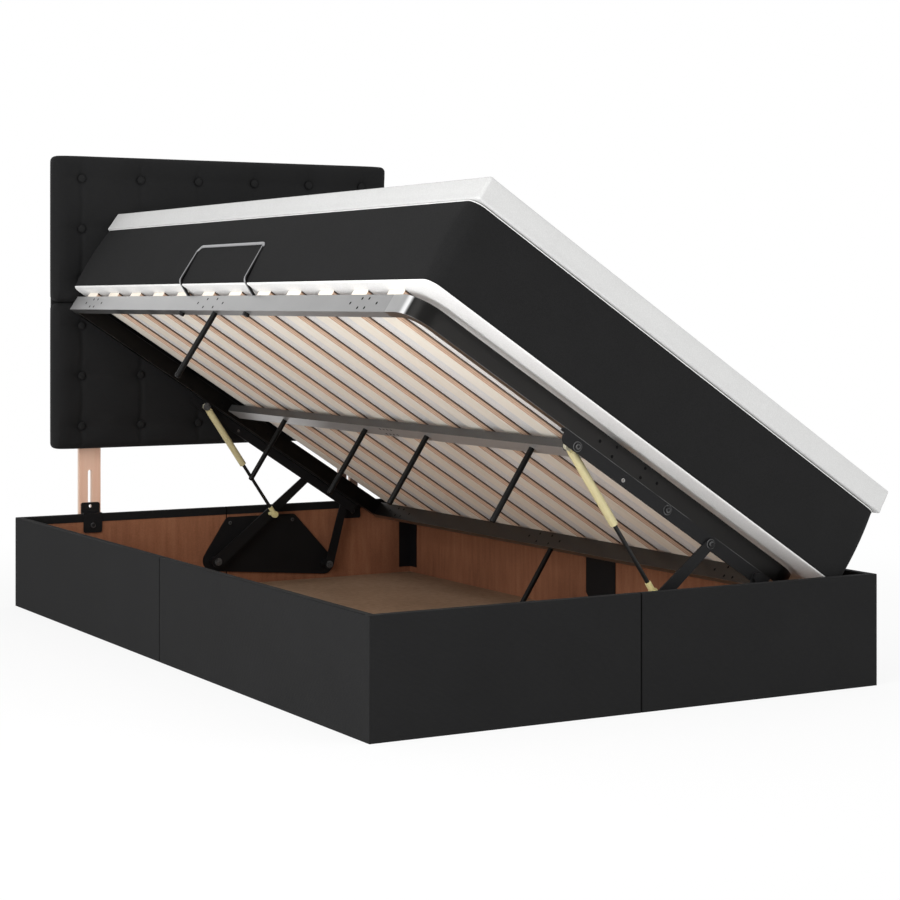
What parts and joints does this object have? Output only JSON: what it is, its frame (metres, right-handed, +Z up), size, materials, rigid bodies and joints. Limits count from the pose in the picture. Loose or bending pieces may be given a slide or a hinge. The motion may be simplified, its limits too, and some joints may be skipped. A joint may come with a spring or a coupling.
{
  "type": "storage bed",
  "caption": "Upholstered single bed whose slatted deck lifts sideways on gas struts over a storage box, with a tufted headboard.",
  "frame": {"origin": "on the floor under the middle of the box", "axes": "+X towards the hinge side, +Y towards the headboard, +Z up"},
  "size_m": [1.2514, 2.052, 1.196],
  "materials": {
    "box_fabric": "woven, charcoal",
    "box_board": "hardboard, reddish brown",
    "floor_board": "matt board",
    "headboard_fabric": "woven, black",
    "back_board": "black lining",
    "leg_wood": "plain softwood",
    "black_steel": "satin black powder coat",
    "zinc_steel": "zinc plated",
    "slat_wood": "birch plywood",
    "strut_paint": "pale yellow paint",
    "strut_rod_steel": "black nitrided steel",
    "mattress_fabric": "black border fabric",
    "topper_fabric": "knitted, off-white"
  },
  "bodies": {
    "base": {"foot_board_left": "box_board", "foot_board_right": "box_board", "head_board_left": "box_board", "head_board_right": "box_board", "open_side_board_foot": "box_board", "open_side_board_head": "box_board", "hinge_side_board_foot": "box_board", "hinge_side_board_head": "box_board", "foot_cover": "box_fabric", "head_cover": "box_fabric", "open_side_cover": "box_fabric", "hinge_side_cover": "box_fabric", "corner_brackets": "black_steel", "joining_plates": "black_steel", "floor_board_foot": "floor_board", "floor_board_head": "floor_board", "headboard_upper_cushion": "headboard_fabric", "headboard_lower_cushion": "headboard_fabric", "headboard_buttons": "headboard_fabric", "headboard_backboard": "back_board", "headboard_leg_left": "leg_wood", "headboard_leg_right": "leg_wood", "headboard_clamp_left": "black_steel", "headboard_clamp_right": "black_steel", "headboard_fasteners": "zinc_steel", "base_plate_foot": "black_steel", "base_plate_head": "black_steel", "base_fasteners": "zinc_steel"},
    "long_arms": {"long_arm_foot": "black_steel", "long_arm_head": "black_steel"},
    "deck": {"rail_open_side": "black_steel", "rail_hinge_side": "black_steel", "rail_foot": "black_steel", "rail_head": "black_steel", "centre_beam": "black_steel", "slat_01": "slat_wood", "slat_02": "slat_wood", "slat_03": "slat_wood", "slat_04": "slat_wood", "slat_05": "slat_wood", "slat_06": "slat_wood", "slat_07": "slat_wood", "slat_08": "slat_wood", "slat_09": "slat_wood", "slat_10": "slat_wood", "slat_11": "slat_wood", "slat_12": "slat_wood", "support_legs": "black_steel", "mattress_retainer": "black_steel", "lift_plate_foot": "black_steel", "lift_plate_head": "black_steel", "deck_fasteners": "zinc_steel", "mattress": "mattress_fabric", "topper": "topper_fabric"},
    "short_links": {"short_link_foot": "black_steel", "short_link_head": "black_steel"},
    "strut_cylinders": {"strut_cylinder_foot": "strut_paint", "strut_cylinder_head": "strut_paint"},
    "strut_rods": {"strut_rod_foot": "strut_rod_steel", "strut_rod_head": "strut_rod_steel"}
  },
  "joints": [
    {"name": "lift", "type": "hinge", "parent": "base", "child": "long_arms", "pos_m": [-0.04092, 0, 0.088], "axis": [0, 1, 0], "range_deg": [0, 24.93], "stiffness_Nm_per_rad": 330, "springref_deg": -85.94},
    {"name": "deck_pivot", "type": "hinge", "parent": "long_arms", "child": "deck", "pos_m": [0.23019, 0, 0.30882], "axis": [0, 1, 0], "range_deg": [-58.08, 0]},
    {"name": "link_pivot", "type": "hinge", "parent": "base", "child": "short_links", "pos_m": [0.30042, 0, 0.06], "axis": [0, 1, 0], "range_deg": [0, 35.14]},
    {"name": "strut_swing", "type": "hinge", "parent": "deck", "child": "strut_cylinders", "pos_m": [-0.0915, 0, 0.51853], "axis": [0, 1, 0], "range_deg": [-14.16, 0]},
    {"name": "strut_stroke", "type": "slide", "parent": "strut_cylinders", "child": "strut_rods", "axis": [0.5593, 0, -0.829], "range_m": [-0.12589, 0]}
  ],
  "couplings": [
    {"joint": "deck_pivot", "follows": "lift", "ratio": -2.328},
    {"joint": "link_pivot", "follows": "lift", "ratio": 1.4077},
    {"joint": "strut_swing", "follows": "lift", "ratio": -0.56592},
    {"joint": "strut_stroke", "follows": "lift", "m_per_rad": -0.28916}
  ]
}
